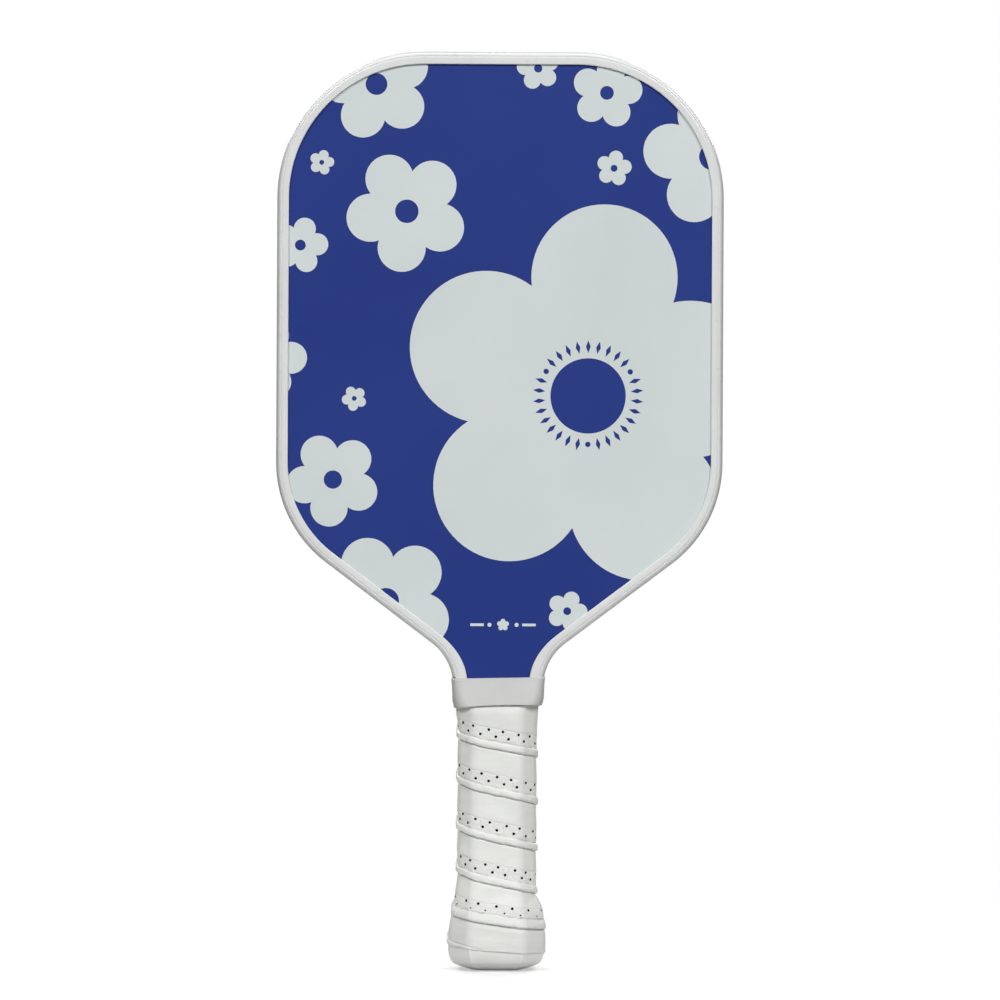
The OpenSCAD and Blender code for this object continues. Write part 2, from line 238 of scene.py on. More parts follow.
def ink_material():
    """White ink of the flowers, a touch glossier than the film."""
    mat = new_material("white_ink", (0.66, 0.71, 0.71), 0.45, coat=0.2, coat_roughness=0.3)
    vary_color(mat, noise_of(mat, 14, 4), (0.625, 0.68, 0.68), (0.67, 0.725, 0.72))
    vary_roughness(mat, noise_of(mat, 80, 4), 0.40, 0.52)
    add_bump(mat, noise_of(mat, GRAIN, 2), 0.10, 0.05 * MM)
    return mat


def guard_material():
    """Satin white plastic of the guard."""
    mat = new_material("guard_white", (0.74, 0.75, 0.745), 0.3, coat=0.2, coat_roughness=0.16,
                       subsurface=0.05)
    vary_color(mat, noise_of(mat, 30, 4), (0.72, 0.73, 0.72), (0.765, 0.775, 0.77))
    vary_roughness(mat, noise_of(mat, 220, 5), 0.25, 0.38)
    add_bump(mat, noise_of(mat, 130, 2), 0.05, 0.3 * MM)
    return mat


def rubber_material(name, color, roughness):
    """Fine grained rubber, for the collar and the cap."""
    mat = new_material(name, color, roughness, subsurface=0.04)
    shade = tuple(0.95 * c for c in color)
    tint = tuple(min(1, 1.03 * c) for c in color)
    vary_color(mat, noise_of(mat, 45, 4), shade, tint)
    vary_roughness(mat, noise_of(mat, 300, 4), roughness - 0.06, roughness + 0.06)
    add_bump(mat, noise_of(mat, 2400, 3), 0.12, 0.05 * MM)
    return mat


def tape_material():
    """Soft synthetic leather: fine grain, faint streaks along the winding, a sheen, and painted
    shade low on the grip.
    """
    mat = new_material("grip_leather", (0.80, 0.805, 0.775), 0.5, sheen=0.1, subsurface=0.05)
    vary_color(mat, noise_of(mat, 60, 5, (1, 1, 2.5)),
               (0.77, 0.777, 0.745), (0.83, 0.835, 0.806))
    # painted shade: the tape darkens towards the butt
    paint_shade_low(mat, PAINTED_SHADE_TONE, PAINTED_SHADE_LOW, PAINTED_SHADE_HIGH)
    vary_roughness(mat, noise_of(mat, 260, 4), 0.42, 0.58)
    add_bump(mat, noise_of(mat, 90, 4, (1, 1, 9)), 0.4, 0.2 * MM)
    add_bump(mat, noise_of(mat, 1900, 4), 0.22, 0.06 * MM)
    add_bump(mat, noise_of(mat, 1500, 0, kind="ShaderNodeTexVoronoi"), 0.12, 0.05 * MM)
    return mat


def suede_material():
    """The pierced strip: rougher and more grainy than the leather beside it."""
    mat = new_material("grip_suede", (0.72, 0.725, 0.70), 0.7, sheen=0.2)
    vary_color(mat, noise_of(mat, 1300, 4), (0.70, 0.705, 0.68), (0.86, 0.865, 0.84), 0.3, 0.7)
    # painted shade: the strip darkens towards the butt
    paint_shade_low(mat, PAINTED_SHADE_TONE, PAINTED_SHADE_LOW, PAINTED_SHADE_HIGH)
    vary_roughness(mat, noise_of(mat, 300, 4), 0.62, 0.78)
    add_bump(mat, noise_of(mat, 1300, 4), 0.35, 0.12 * MM)
    return mat


def hole_shade_material():
    """Painted shade: near black walls and floor of the tape's punched holes, standing for the
    shade inside them.
    """
    mat = new_material("hole_painted_shade", (0.004, 0.004, 0.004), 0.85, specular=0.1)
    vary_color(mat, noise_of(mat, 1500, 2), (0.003, 0.003, 0.003), (0.008, 0.008, 0.007))
    return mat


def inner_material(name, color, roughness, grain, relief):
    """Hidden pieces: foam, film, cord, core. grain is the scale of the noise."""
    mat = new_material(name, color, roughness)
    vary_color(mat, noise_of(mat, grain, 4), tuple(0.88 * c for c in color), color)
    add_bump(mat, noise_of(mat, grain * 3, 3), 0.3, relief)
    return mat


def weave_material():
    """Glass cloth in resin: two crossed sets of fine ribs."""
    mat = new_material("glass_cloth", (0.16, 0.17, 0.18), 0.35, coat=0.3)
    nodes, links = mat.node_tree.nodes, mat.node_tree.links
    for axis in ("X", "Z"):
        wave = nodes.new("ShaderNodeTexWave")
        wave.bands_direction = axis
        wave.inputs["Scale"].default_value = 180
        coords = nodes.new("ShaderNodeTexCoord")
        links.new(coords.outputs["Object"], wave.inputs["Vector"])
        add_bump(mat, wave.outputs["Fac"], 0.3, 0.05 * MM)
    vary_color(mat, noise_of(mat, 700, 2), (0.13, 0.14, 0.15), (0.19, 0.20, 0.21))
    return mat


# ---------------------------------------------------------------- the blade's edge guard

CORNER_STATIONS, SIDE_STATIONS, SHOULDER_STATIONS, THROAT_STATIONS = 61, 13, 37, 33
LIP_FROM = 2.2 * MM           # the flat lip starts here, past the groove
# Below the collar's top the guard thins out: how far down, and how much is gone from outside
GUARD_TAILS = ((0.1, 0.75), (3.5, 0.95), (6.0, 1.25))


def rim_stations():
    """Stations down the right side: arc centre, radius, way to move inwards and angle. Also
    the centre of the throat's arc."""
    corner = (HALF_WIDTH - CORNER_R, LENGTH - CORNER_R)
    shoulder = (HALF_WIDTH - SHOULDER_R, SHOULDER_Z)
    turn = SHOULDER_TURN
    throat_x = NECK_HALF + THROAT_R
    slope_x = shoulder[0] + SHOULDER_R * math.cos(turn)
    slope_z = shoulder[1] - SHOULDER_R * math.sin(turn)
    throat_z = slope_z - (THROAT_R - (throat_x - slope_x) * math.cos(turn)) / math.sin(turn)
    rows = []
    for a in np.linspace(90, 0, CORNER_STATIONS):
        rows.append((*corner, CORNER_R, 1, math.radians(a)))
    for z in np.linspace(corner[1], shoulder[1], SIDE_STATIONS)[1:-1]:
        rows.append((corner[0], z, CORNER_R, 1, 0.0))
    for a in np.linspace(0, -turn, SHOULDER_STATIONS):
        rows.append((*shoulder, SHOULDER_R, 1, a))
    end = math.pi - math.asin((COLLAR_TOP + 0.2 * MM - throat_z) / THROAT_R)
    for a in np.linspace(math.pi - turn, end, THROAT_STATIONS):
        rows.append((throat_x, throat_z, THROAT_R, -1, a))
    return np.array(rows), throat_x, throat_z


def guard_profile():
    """Half section of the guard: (inset, depth) from the middle of its outside, round the
    bumper, over the groove and the flat lip, to the inside of the channel."""
    top = GUARD_Y
    points = [(0.0, 0.0), (0.0, 0.25 * top), (0.02 * MM, 0.45 * top)]
    for a in np.linspace(8, 80, 12):
        points.append((2.15 * MM * (1 - math.cos(math.radians(a))),
                       0.55 * top + (0.45 * top - 0.1 * MM) * math.sin(math.radians(a))))
    points += [(2.02 * MM, top - 0.14 * MM), (2.12 * MM, top - 0.30 * MM),
               (2.24 * MM, top - 0.32 * MM), (2.34 * MM, top - 0.16 * MM),
               (2.5 * MM, top - 0.07 * MM), (2.9 * MM, top - 0.03 * MM),
               (3.7 * MM, top), (LIP - 0.75 * MM, top - 0.01 * MM)]
    for a in np.linspace(80, 0, 7):
        points.append((LIP - 0.45 * MM + 0.45 * MM * math.cos(math.radians(a)),
                       top - 0.47 * MM + 0.45 * MM * math.sin(math.radians(a))))
    points += [(LIP - 0.02 * MM, FACE_Y + 0.5 * MM), (LIP - 0.35 * MM, FACE_Y + 0.1 * MM),
               (2.0 * MM, FACE_Y + 0.1 * MM)]
    return points


def make_guard(mat):
    """The guard's section swept down the right side, then mirrored."""
    stations, throat_x, throat_z = rim_stations()
    half = guard_profile()
    section = half + [(d, -y) for d, y in reversed(half[1:])]
    n = len(section)
    first_throat = len(stations) - THROAT_STATIONS
    rings = []
    for k, (cx, cz, r, way, a) in enumerate(stations):
        wide = (LIP_EXTRA * smooth((k - first_throat) / (THROAT_STATIONS - 1))
                + LIP_TOP * smooth(1.2 - k / 50))
        ring = []
        for d, y in section:
            if d > LIP_FROM:
                d += wide * (d - LIP_FROM) / (LIP - LIP_FROM)
            ring.append((cx + (r - way * d) * math.cos(a), y, cz + (r - way * d) * math.sin(a)))
        rings.append(ring)
    for drop, thin in GUARD_TAILS:
        z = COLLAR_TOP - drop * MM
        ring = []
        for d, y in section:
            if d < 2 * MM:
                d = thin * MM + d * (1 - thin / 2)
            else:
                d += LIP_EXTRA * max(0, d - LIP_FROM) / (LIP - LIP_FROM)
            x = throat_x - math.sqrt((THROAT_R + d) ** 2 - max(0, z - throat_z) ** 2)
            ring.append((x, y, z))
        rings.append(ring)
    left = [[(-x, y, z) for x, y, z in ring] for ring in rings]
    rings = rings[::-1] + left
    verts = [p for ring in rings for p in ring]
    faces = grid_faces(len(rings), n, wrap_cols=True)
    ends = [list(range(n)), [(len(rings) - 1) * n + j for j in reversed(range(n))]]
    return add_mesh("edge_guard_skin", verts, faces + ends, [mat], sharp=50,
                    slot="edge_guard", stands_for=["edge_guard"])


# ---------------------------------------------------------------- octagonal sections

# Corner i of an octagon: the signs of its x and y, and along which of them it is cut back
CORNER_X = np.array([1, 1, -1, -1, -1, -1, 1, 1])
CORNER_Y = np.array([1, 1, 1, 1, -1, -1, -1, -1])
CUT_X = np.array([0, 1, 1, 0, 0, 1, 1, 0])
CUT_Y = 1 - CUT_X
CUT_GROWTH = 2 - math.sqrt(2)      # how much the cut grows when all faces move out by one


def corner_point(i, f, half_w, half_d, cut, radius):
    """Point at share f of the rounded corner i of an octagon. All arguments may be arrays."""
    px = CORNER_X[i] * (half_w - CUT_X[i] * cut)
    py = CORNER_Y[i] * (half_d - CUT_Y[i] * cut)
    mid = np.radians(45 * i + 22.5)
    turn = np.radians(45 * (i + f))
    back = radius / math.cos(math.radians(22.5))
    return (px - back * np.cos(mid) + radius * np.cos(turn),
            py - back * np.sin(mid) + radius * np.sin(turn))


def octagon(half_w, half_d, cut, radius, n=9, flat=6):
    """Closed ring of an octagon with rounded corners and points along its flats."""
    ring = []
    for i in range(8):
        for f in np.linspace(0, 1, n):
            ring.append(corner_point(i, f, half_w, half_d, cut, radius))
        a, b = ring[-1], corner_point((i + 1) % 8, 0, half_w, half_d, cut, radius)
        for g in np.linspace(0, 1, flat + 1)[1:-1]:
            ring.append((a[0] + (b[0] - a[0]) * g, a[1] + (b[1] - a[1]) * g))
    return ring


def make_stack(name, rings, mat, looped, **more):
    """Skins (points, height) rings; the height may be one number or one for each point."""
    verts = []
    for ring, z in rings:
        zs = z if hasattr(z, "__len__") else [z] * len(ring)
        verts += [(x, y, h) for (x, y), h in zip(ring, zs)]
    n = len(rings[0][0])
    faces = grid_faces(len(rings), n, wrap_rows=looped, wrap_cols=True)
    if not looped:
        faces += [list(reversed(range(n))), [(len(rings) - 1) * n + j for j in range(n)]]
    return add_mesh(name, verts, faces, [mat], **more)


# The collar's rings, bottom to top: share of the height, how far out, how much it arches, mm
COLLAR_OUTSIDE = (
    (0.0, -0.30, 1.1), (0.008, -0.08, 1.1), (0.03, 0.02, 1.05), (0.1, 0.06, 0.95),
    (0.25, 0.05, 0.7), (0.4, 0.0, 0.5), (0.55, -0.04, 0.35), (0.7, -0.06, 0.2),
    (0.82, -0.06, 0.1), (0.875, -0.05, 0), (0.90, 0.04, 0), (0.93, 0.1, 0),
    (0.96, 0.08, 0), (0.985, -0.05, 0), (1.0, -0.25, 0))
COLLAR_INSIDE = ((0.89, -0.9, 0), (0.7, -0.9, 0.2), (0.3, -0.9, 0.6), (0.0, -0.8, 1.1))
COLLAR_LIP = (0.1, 0.35, 1.1)      # depths below the top, mm
COLLAR_TAPER = 6.4 * MM            # how much less deep the top is than the foot, each side
COLLAR_POINTS = 144


def squared_circle(power):
    """Points of a circle pushed towards the corners of its box, from -1 to 1 in x and y."""
    for a in np.linspace(0, 2 * math.pi, COLLAR_POINTS, endpoint=False):
        c, s = math.cos(a), math.sin(a)
        yield math.copysign(abs(c) ** power, c), math.copysign(abs(s) ** power, s)


def collar_ring(t, out, arch):
    """Ring at share t of the collar's height. It was pushed on a little crooked."""
    half_w = (19.55 + 0.5 * smooth(t / 0.25) + 0.75 * t + out) * MM
    half_d = COLLAR_DEPTH - COLLAR_TAPER * t + out * MM
    z = COLLAR_Z + (COLLAR_TOP - COLLAR_Z) * t
    points, heights = [], []
    for x, y in squared_circle(2 / (4.4 + 2.2 * t)):
        points.append((half_w * x, half_d * y))
        heights.append(z + (arch * (1 - x * x) + (0.7 - 0.3 * t) * x) * MM)
    return points, heights


def collar_lip(drop):
    """Ring pressed against the blade: on its faces in the middle, on the guard outside."""
    half_w = NECK_HALF + 0.45 * MM
    points, heights = [], []
    for x, y in squared_circle(0.2):
        on_guard = smooth((abs(half_w * x) - (NECK_HALF - LIP - LIP_EXTRA)) / (0.7 * MM))
        half_d = FACE_Y + 0.08 * MM + (GUARD_Y - FACE_Y) * on_guard
        points.append((half_w * x, half_d * y))
        heights.append(COLLAR_TOP + (0.4 * x - drop) * MM)
    return points, heights


def make_collar(mat):
    """Smooth band with a small bead at its top edge and a lower edge that arches a little."""
    rings = [collar_ring(*row) for row in COLLAR_OUTSIDE]
    rings += [collar_lip(drop) for drop in COLLAR_LIP]
    rings += [collar_ring(*row) for row in COLLAR_INSIDE]
    return make_stack("collar_band", rings, mat, True, sharp=60, slot="collar",
                      stands_for=["collar"])


# ---------------------------------------------------------------- the grip

TAPE_THICK = 1.8 * MM
HANDLE_CUT = 6.15 * MM        # how far the handle's corners are cut back
TAPED_CUT = HANDLE_CUT + 0.586 * TAPE_THICK  # and over the tape, where the winding is measured
SOFT_EDGE = 5.0 * MM          # how round the handle's edges are under the tape
FLARE = 4.2 * MM              # how far the handle swells at the butt
SLOPE_FROM = 115.7 * MM       # the tape follows the slope to the faces above this
SLOPE = 0.457
OFF_CENTRE = 0.3 * MM         # the grip sits a little to the left of the blade's middle

# The winding, in turns counted down from the collar. Whole numbers are at the left front edge.
FIRST_TURN, LAST_TURN = -1.42, 4.97
HOLES_END = 3.95              # the last turn isn't pierced
TOP_CREASE = 102.9            # height of the crease above turn 0, mm
PITCH, LAST_PITCH = 19.6, 14.2               # mm; the turns close up at the butt
UNEVEN = (0, 1.3, 0, 0, -1.1, -1.2, -0.6, -0.5, 0.3, 0.2, -0.4, 0)   # mm, each half turn
TURN_START = 7.5 * MM         # lowest edge of the tape, level round the butt

# Across the tape, up from its lower edge: the rib, the pierced strip, then the smooth band
RIB_W = 3.4 * MM
PIERCED_W = 5.8 * MM
BAND_MIN = 1.5 * MM           # the band keeps this much before all of them are squeezed

# Where the points across the tape are. The band's are shares of what is left of the turn.
RIB_Q = np.array([0, 0.08, 0.18, 0.3, 0.45, 0.65, 0.9, 1.2, 1.55, 1.9, 2.25, 2.55, 2.8]) * MM
SEAM_Q = RIB_W + np.array([-0.16, 0, 0.16]) * MM
PIERCED_Q = RIB_W + np.array([0.8, 1.5, 2.2, 2.9, 3.6, 4.25, 4.95]) * MM
LINE_Q = RIB_W + PIERCED_W + np.array([-0.16, 0, 0.16]) * MM
BAND = np.array([0.04, 0.1, 0.2, 0.32, 0.45, 0.58, 0.7, 0.8, 0.88, 0.925, 0.95, 0.97, 0.985, 1])
PIERCED_COL = len(RIB_Q) + len(SEAM_Q)
COLS = PIERCED_COL + len(PIERCED_Q) + len(LINE_Q) + len(BAND)
LOWER_ROW, UPPER_ROW = 2, 6   # the points of PIERCED_Q that the two rows of holes are on

LEATHER, HOLE_SHADE, SUEDE = 0, 1, 2               # the tape's material slots; the second is the painted shade inside the holes
HOLE_R = 0.62 * MM
HOLE_DEPTH = 1.0              # mm


def flare_at(z, side):
    """How far the handle swells at height z. side runs from -1, left, to 1, right: the left
    swells slowly, the right in a bulge just under a rib."""
    slow = smooth((42 * MM - z) / (33 * MM)) * 0.6 + 0.4 * np.clip((41 * MM - z) / (27 * MM), 0, 1)
    quick = 0.8 * smooth((34.5 * MM - z) / (10 * MM)) + 0.2 * smooth((26 * MM - z) / (12 * MM))
    share = 0.5 + 0.5 * np.clip(side, -1, 1)
    top = 0.75 * MM * smooth((z - 107 * MM) / (9 * MM))
    return FLARE * (slow + (quick - slow) * share) + top


def grip_surface(kind, i, g, z, out):
    """Point of the grip at height z, out beyond the tape's normal outside. kind is 0 on a
    rounded corner and 1 on the flat after it; g is the share of the way along."""
    side = corner_point(i, 0.5, 1.0, 1.0, 0.6, 0.3)[0]
    side = side + (corner_point((i + 1) % 8, 0.5, 1.0, 1.0, 0.6, 0.3)[0] - side) * g * kind
    e = flare_at(z, side) + TAPE_THICK + out
    s = SLOPE * np.clip(z - SLOPE_FROM, 0, None)
    shape = (HANDLE_HALF_W + e, HANDLE_HALF_D - s + e, HANDLE_CUT - s + CUT_GROWTH * e,
             SOFT_EDGE + TAPE_THICK + out)
    ax, ay = corner_point(i, np.where(kind == 0, g, 1.0), *shape)
    bx, by = corner_point((i + 1) % 8, 0.0, *shape)
    flat = np.where(kind == 1, g, 0.0)
    return ax + (bx - ax) * flat, ay + (by - ay) * flat


ROUND_STEPS = 8                    # samples round each corner of the handle
FLAT_STEPS = (6, 24, 6, 15)        # and along its flats: bevel, front, bevel, side


def way_round():
    """Samples once round the handle from its left front edge: kind, corner and share as in
    grip_surface, turn and way along. Also the whole way round. Half of each turn's drop is
    across the front, from corner 4 to corner 7."""
    shape = (HANDLE_HALF_W + TAPE_THICK, HANDLE_HALF_D + TAPE_THICK,
             TAPED_CUT, SOFT_EDGE + TAPE_THICK)
    rows, lengths = [], []
    for step in range(8):
        i = (4 + step) % 8
        for kind, steps in ((0, ROUND_STEPS), (1, FLAT_STEPS[step % 4])):
            if kind == 0:
                length = shape[3] * math.pi / 4
            else:
                a = corner_point(i, 1.0, *shape)
                b = corner_point((i + 1) % 8, 0.0, *shape)
                length = math.dist(a, b)
            for m in range(steps):
                rows.append((kind, i, m / steps))
                lengths.append(length / steps)
    lengths = np.array(lengths)
    front = 4 * ROUND_STEPS + sum(FLAT_STEPS[:3])    # corner 4 to the end of corner 7
    turn = np.zeros(len(rows))
    turn[:front] = 0.5 * np.cumsum(np.r_[0, lengths[:front - 1]]) / lengths[:front].sum()
    turn[front:] = 0.5 + 0.5 * np.cumsum(np.r_[0, lengths[front:-1]]) / lengths[front:].sum()
    along = np.cumsum(np.r_[0, lengths[:-1]])
    kind, i, g = (np.array(c) for c in zip(*rows))
    return kind, i, g, turn, along, lengths.sum()


def crease(u):
    """Height of the crease above turn u. The turns close up at the butt, and the last one
    runs up behind the collar round the back."""
    v = np.clip(u - 4, 0, None)
    w = smooth(-2 * u)
    z = TOP_CREASE - PITCH * u + v * (PITCH - LAST_PITCH) + 2 * v * v + 9 * w
    sag = 0.7 * np.sin(2 * np.pi * u) * (1 - w)
    z += np.interp(u, np.arange(0, 6, 0.5), UNEVEN)
    return np.maximum((z - sag) * MM, TURN_START)


def rib_edge(s, u):
    """How far above RIB_W the rib's ragged upper edge lies, at s along the tape on turn u."""
    wide = 1.1 * smooth((u - 2.85) / 0.15)
    return (wide + 0.25 * ripple(s * 0.3, 0, 12.1) + 0.3 * ripple(s * 0.75, 0, 6.3)) * MM


def tape_relief(q, top, s, u):
    """Heights of the tape's outside at q above its lower edge, where the turn is top wide."""
    mm, wide = q / MM, top / MM
    rib_end, line = (RIB_W + rib_edge(s, u)) / MM, (RIB_W + PIERCED_W) / MM
    last = smooth((u - 3.75) / 0.22)           # the rib dies out on the last turn
    middle = 1.7 + 0.25 * ripple(s * 0.25, 0, 4.4)
    across = np.clip(1 - ((mm - middle) / 1.75) ** 2, 0, None)
    rib = (0.5 + 0.15 * ripple(s * 0.2, 0, 9.7)) * across ** 0.8
    # wrinkles across the rib's lower side
    rib += smooth((2.8 - mm) / 1.6) * (0.2 * ripple(s * 0.4, mm * 0.5, 3.1)
                                       + 0.27 * ripple(s * 0.9, mm * 0.8, 7.7))
    body = 0.12 - 0.34 * smooth((mm - line) / max(0.5, wide - line))
    body = body + 0.12 * ripple(s * 0.07, mm * 0.5, 1.3) + 0.05 * ripple(s * 0.2, mm * 1.4, 9.1)
    pierced = -0.12 * smooth((mm - rib_end) / 0.4) * smooth((line - mm) / 0.3)
    pierced = pierced + 0.03 * ripple(s * 1.3, mm * 1.5, 6.6) * ((mm > rib_end) & (mm < line))
    torn = 0.5 + 0.5 * ripple(s * 0.8, 0, 15.5)
    seam = (-1.5 * torn ** 1.5 * np.exp(-((mm - rib_end) / 0.22) ** 2)
            + 0.16 * torn * np.exp(-((mm - rib_end + 0.4) / 0.2) ** 2)
            - 0.24 * np.exp(-((mm - line) / 0.14) ** 2))
    h = body + (rib + pierced + seam) * (1 - last)
    # on the last turn what is left of the rib is a fold pressed flat, which soon runs out
    fold = min(2.6, 2.3 - 12 * (u - 4.02))
    if fold > 0.2:
        h += last * (0.3 * (1 - smooth((mm - fold) / 0.3))
                     - 0.65 * np.exp(-((mm - fold - 0.2) / 0.25) ** 2))
    low = -1.2 * (1 - smooth(mm / 0.7)) * (1 - last) - last * 1.1 * (1 - smooth(mm / 0.35))
    high = -1.0 * (1 - smooth((wide - mm) / 0.75))
    return (h + low + high) * MM


def edge_sway(s):
    """How the worn edge of the tape wanders at s along its length."""
    return (0.2 * ripple(s * 0.25, 0, 5.5) + 0.2 * ripple(s * 0.6, 0, 2.2)
            + 0.12 * ripple(s * 1.2, 0, 8.8)) * MM


def tape_stations():
    """Stations along the tape: kind, corner and share as in grip_surface, turn, and the way
    along in mm. Also the length of one turn in mm."""
    kind, corner, share, turn, along, round_length = way_round()
    rows = []
    for t in range(math.floor(FIRST_TURN), math.ceil(LAST_TURN) + 1):
        u = t + turn
        keep = (u >= FIRST_TURN) & (u <= LAST_TURN)
        rows.append((kind[keep], corner[keep], share[keep], u[keep],
                     t * round_length / MM + along[keep] / MM))
    return (*map(np.concatenate, zip(*rows)), round_length / MM)


def tape_columns(top, s, u):
    """Places across the tape where its turn is top wide, up from its lower edge."""
    fixed = np.concatenate([RIB_Q, SEAM_Q, PIERCED_Q, LINE_Q])
    base = fixed[-1]
    q = np.concatenate([fixed, base + BAND * max(top - base, BAND_MIN)])
    shift = rib_edge(s, u)
    q[len(RIB_Q):PIERCED_COL] += shift
    q[PIERCED_COL:PIERCED_COL + 3] += max(0, shift - 0.4 * MM) * np.array([1, 0.75, 0.4])
    if base + BAND_MIN > top:
        q = q * top / q[-1]
    return q


def tape_points():
    """Outside and underside points of the tape at each station, with turn and way along."""
    kind, corner, share, turn, along, round_mm = tape_stations()
    outside = np.zeros((len(turn), COLS, 3))
    under = np.zeros_like(outside)
    for k, (u, s) in enumerate(zip(turn, along)):
        low, high = crease(u + 1), crease(u)
        if low > TURN_START:
            low += edge_sway(s)
        high += edge_sway(s - round_mm)
        low += (high - low - 1.2 * MM) * smooth((u - 4.55) / 0.42)    # the start is cut to a point
        q = tape_columns(high - low, s, u)
        relief = tape_relief(q, high - low, s, u)
        z = low + q
        z = np.where(z > TAPE_TOP, TAPE_TOP - 0.3 * MM + 0.3 * MM * (q / q[-1]), z)
        for side, out in ((outside, relief), (under, np.minimum(relief, 0) - 1.3 * MM)):
            x, y = grip_surface(kind[k], corner[k], share[k], z, out)
            side[k] = np.stack([x - OFF_CENTRE, y, z], 1)
    return outside, under, turn, along


def hole_places(along):
    """Way along and row of each punched hole, in two staggered rows."""
    rng = np.random.default_rng(11)
    places = []
    at, gap = along[0] + 3, 0
    while at < along[-1] - 3:
        places.append((at, UPPER_ROW))
        places.append((at + 3.1 + rng.uniform(-0.3, 0.3), LOWER_ROW))
        gap = 1 - gap
        at += 6.0 + 1.2 * gap + rng.uniform(-0.4, 0.4)
    return places


def surface_axes(points, k, j):
    """Unit vectors along the tape, up across it, and out of it at a grid point."""
    along = points[k + 1, j] - points[k - 1, j]
    along /= np.linalg.norm(along)
    up = points[k, j + 1] - points[k, j - 1]
    up -= along * (up @ along)
    up /= np.linalg.norm(up)
    normal = np.cross(along, up)
    if normal @ np.array([points[k, j][0], points[k, j][1], 0]) < 0:
        normal = -normal
    return along, up, normal


def punch(k, j, points, grid, verts, faces, slots):
    """Puts a round pit, its inside painted near black as shade, in the place of the eight quads
    about a grid point.
    """
    around = ([(k + d, j - 1) for d in (-2, -1, 0, 1, 2)] + [(k + 2, j)]
              + [(k + d, j + 1) for d in (2, 1, 0, -1, -2)] + [(k - 2, j)])
    cells = [(k + d, j + e) for d in (-2, -1, 0, 1) for e in (-1, 0)]
    if any(c not in grid for c in cells):
        return
    for c in cells:
        del grid[c]
    centre = points[k, j]
    along, up, normal = surface_axes(points, k, j)
    offsets = [points[place] - centre for place in around]
    angles = [math.atan2(v @ up, v @ along) for v in offsets]
    radius = min(HOLE_R, 0.88 * min(np.linalg.norm(v) for v in offsets))
    n_out, n_in = len(around), 2 * len(around)
    ring = []
    for a0, a1 in zip(angles, angles[1:] + angles[:1]):
        ring += [a0, a0 + ((a1 - a0) % (2 * math.pi)) / 2]
    start = len(verts)
    for depth, r in ((0.02, radius), (0.07, radius - 0.04 * MM),
                     (HOLE_DEPTH, radius - 0.05 * MM)):
        for a in ring:
            verts.append(centre + (along * math.cos(a) + up * math.sin(a)) * r
                         - normal * depth * MM)
    outer = [row * COLS + col for row, col in around]
    for m in range(n_out):
        a, b = outer[m], outer[(m + 1) % n_out]
        r0, r1, r2 = (start + (2 * m + d) % n_in for d in (0, 1, 2))
        faces += [(a, b, r1), (a, r1, r0), (b, r2, r1)]
        slots += [SUEDE] * 3
    # walls and floor of the pit take the painted shade
    for level in (start, start + n_in):
        for m in range(n_in):
            a, b = level + m, level + (m + 1) % n_in
            faces.append((a, b, b + n_in, a + n_in))
            slots.append(HOLE_SHADE)
    faces.append([start + 2 * n_in + m for m in range(n_in)])
    slots.append(HOLE_SHADE)


def closing_quads(count):
    """Quads of the tape's underside, its two long edges and its two ends."""
    size = count * COLS
    quads = []
    for k in range(count - 1):
        for j in range(COLS - 1):
            a = size + k * COLS + j
            quads.append((a, a + 1, a + COLS + 1, a + COLS))
        for j, flip in ((0, False), (COLS - 1, True)):
            a, b = k * COLS + j, (k + 1) * COLS + j
            quad = (a, a + size, b + size, b)
            quads.append(quad[::-1] if flip else quad)
    for k, flip in ((0, True), (count - 1, False)):
        for j in range(COLS - 1):
            a = k * COLS + j
            quad = (a, a + size, a + 1 + size, a + 1)
            quads.append(quad[::-1] if flip else quad)
    return quads


def make_grip(materials):
    """The wound tape: one closed strip, with punched holes in its suede part."""
    outside, under, turn, along = tape_points()
    count = len(turn)
    verts = list(outside.reshape(-1, 3)) + list(under.reshape(-1, 3))
    grid = {(k, j): (k * COLS + j, (k + 1) * COLS + j, (k + 1) * COLS + j + 1, k * COLS + j + 1)
            for k in range(count - 1) for j in range(COLS - 1)}
    faces, slots = [], []
    for at, row in hole_places(along):
        k = int(np.argmin(abs(along - at)))
        if 2 < k < count - 3 and turn[k] <= HOLES_END:
            punch(k, PIERCED_COL + row, outside, grid, verts, faces, slots)
    suede = range(PIERCED_COL, PIERCED_COL + len(PIERCED_Q))
    for (k, j), face in grid.items():
        faces.append(face)
        slots.append(SUEDE if j in suede and turn[k] < HOLES_END else LEATHER)
    closing = closing_quads(count)
    return add_mesh("wound_grip", verts, faces + closing, materials,
                    face_slots=slots + [LEATHER] * len(closing), sharp=75,
                    slot="grip", stands_for=["grip_tape"])


# Rings of the cap from the flat end up: height, half width, roundness of the corners, mm
BUTT_LEVELS = (
    (0.0, 9.8, 0.5), (0.03, 10.2, 0.5), (0.16, 10.8, 0.5), (0.9, 13.1, 0.6),
    (1.7, 15.4, 0.7), (2.4, 17.3, 0.8), (2.8, 18.2, 0.9), (3.3, 18.95, 1.0),
    (4.0, 19.65, 1.1), (4.9, 20.15, 1.2), (6.0, 20.6, 1.4), (7.4, 21.0, 1.7),
    (9.0, 21.25, 2.0), (10.5, 21.3, 2.4), (12.5, 21.2, 3.0), (14.5, 20.9, 3.6),
    (17, 20.4, 4.2), (20, 19.6, 4.0), (24, 18.6, 3.8), (30, 17.0, 3.6))


def butt_ring(z, half_w, radius):
    """The handle's octagon, grown to the half width."""
    grown = half_w * MM - HANDLE_HALF_W
    points = octagon(half_w * MM, HANDLE_HALF_D + grown, HANDLE_CUT + CUT_GROWTH * grown,
                     radius * MM)
    return [(x - OFF_CENTRE, y) for x, y in points], z * MM


def make_butt(mat):
    """Cap: a flush band under the last turn, a rounded edge, a bevel and the flat end."""
    rings = [butt_ring(*level) for level in BUTT_LEVELS]
    return make_stack("butt_cap_shell", rings, mat, False, sharp=40, slot="butt_cap",
                      stands_for=["butt_cap"])


# ---------------------------------------------------------------- build

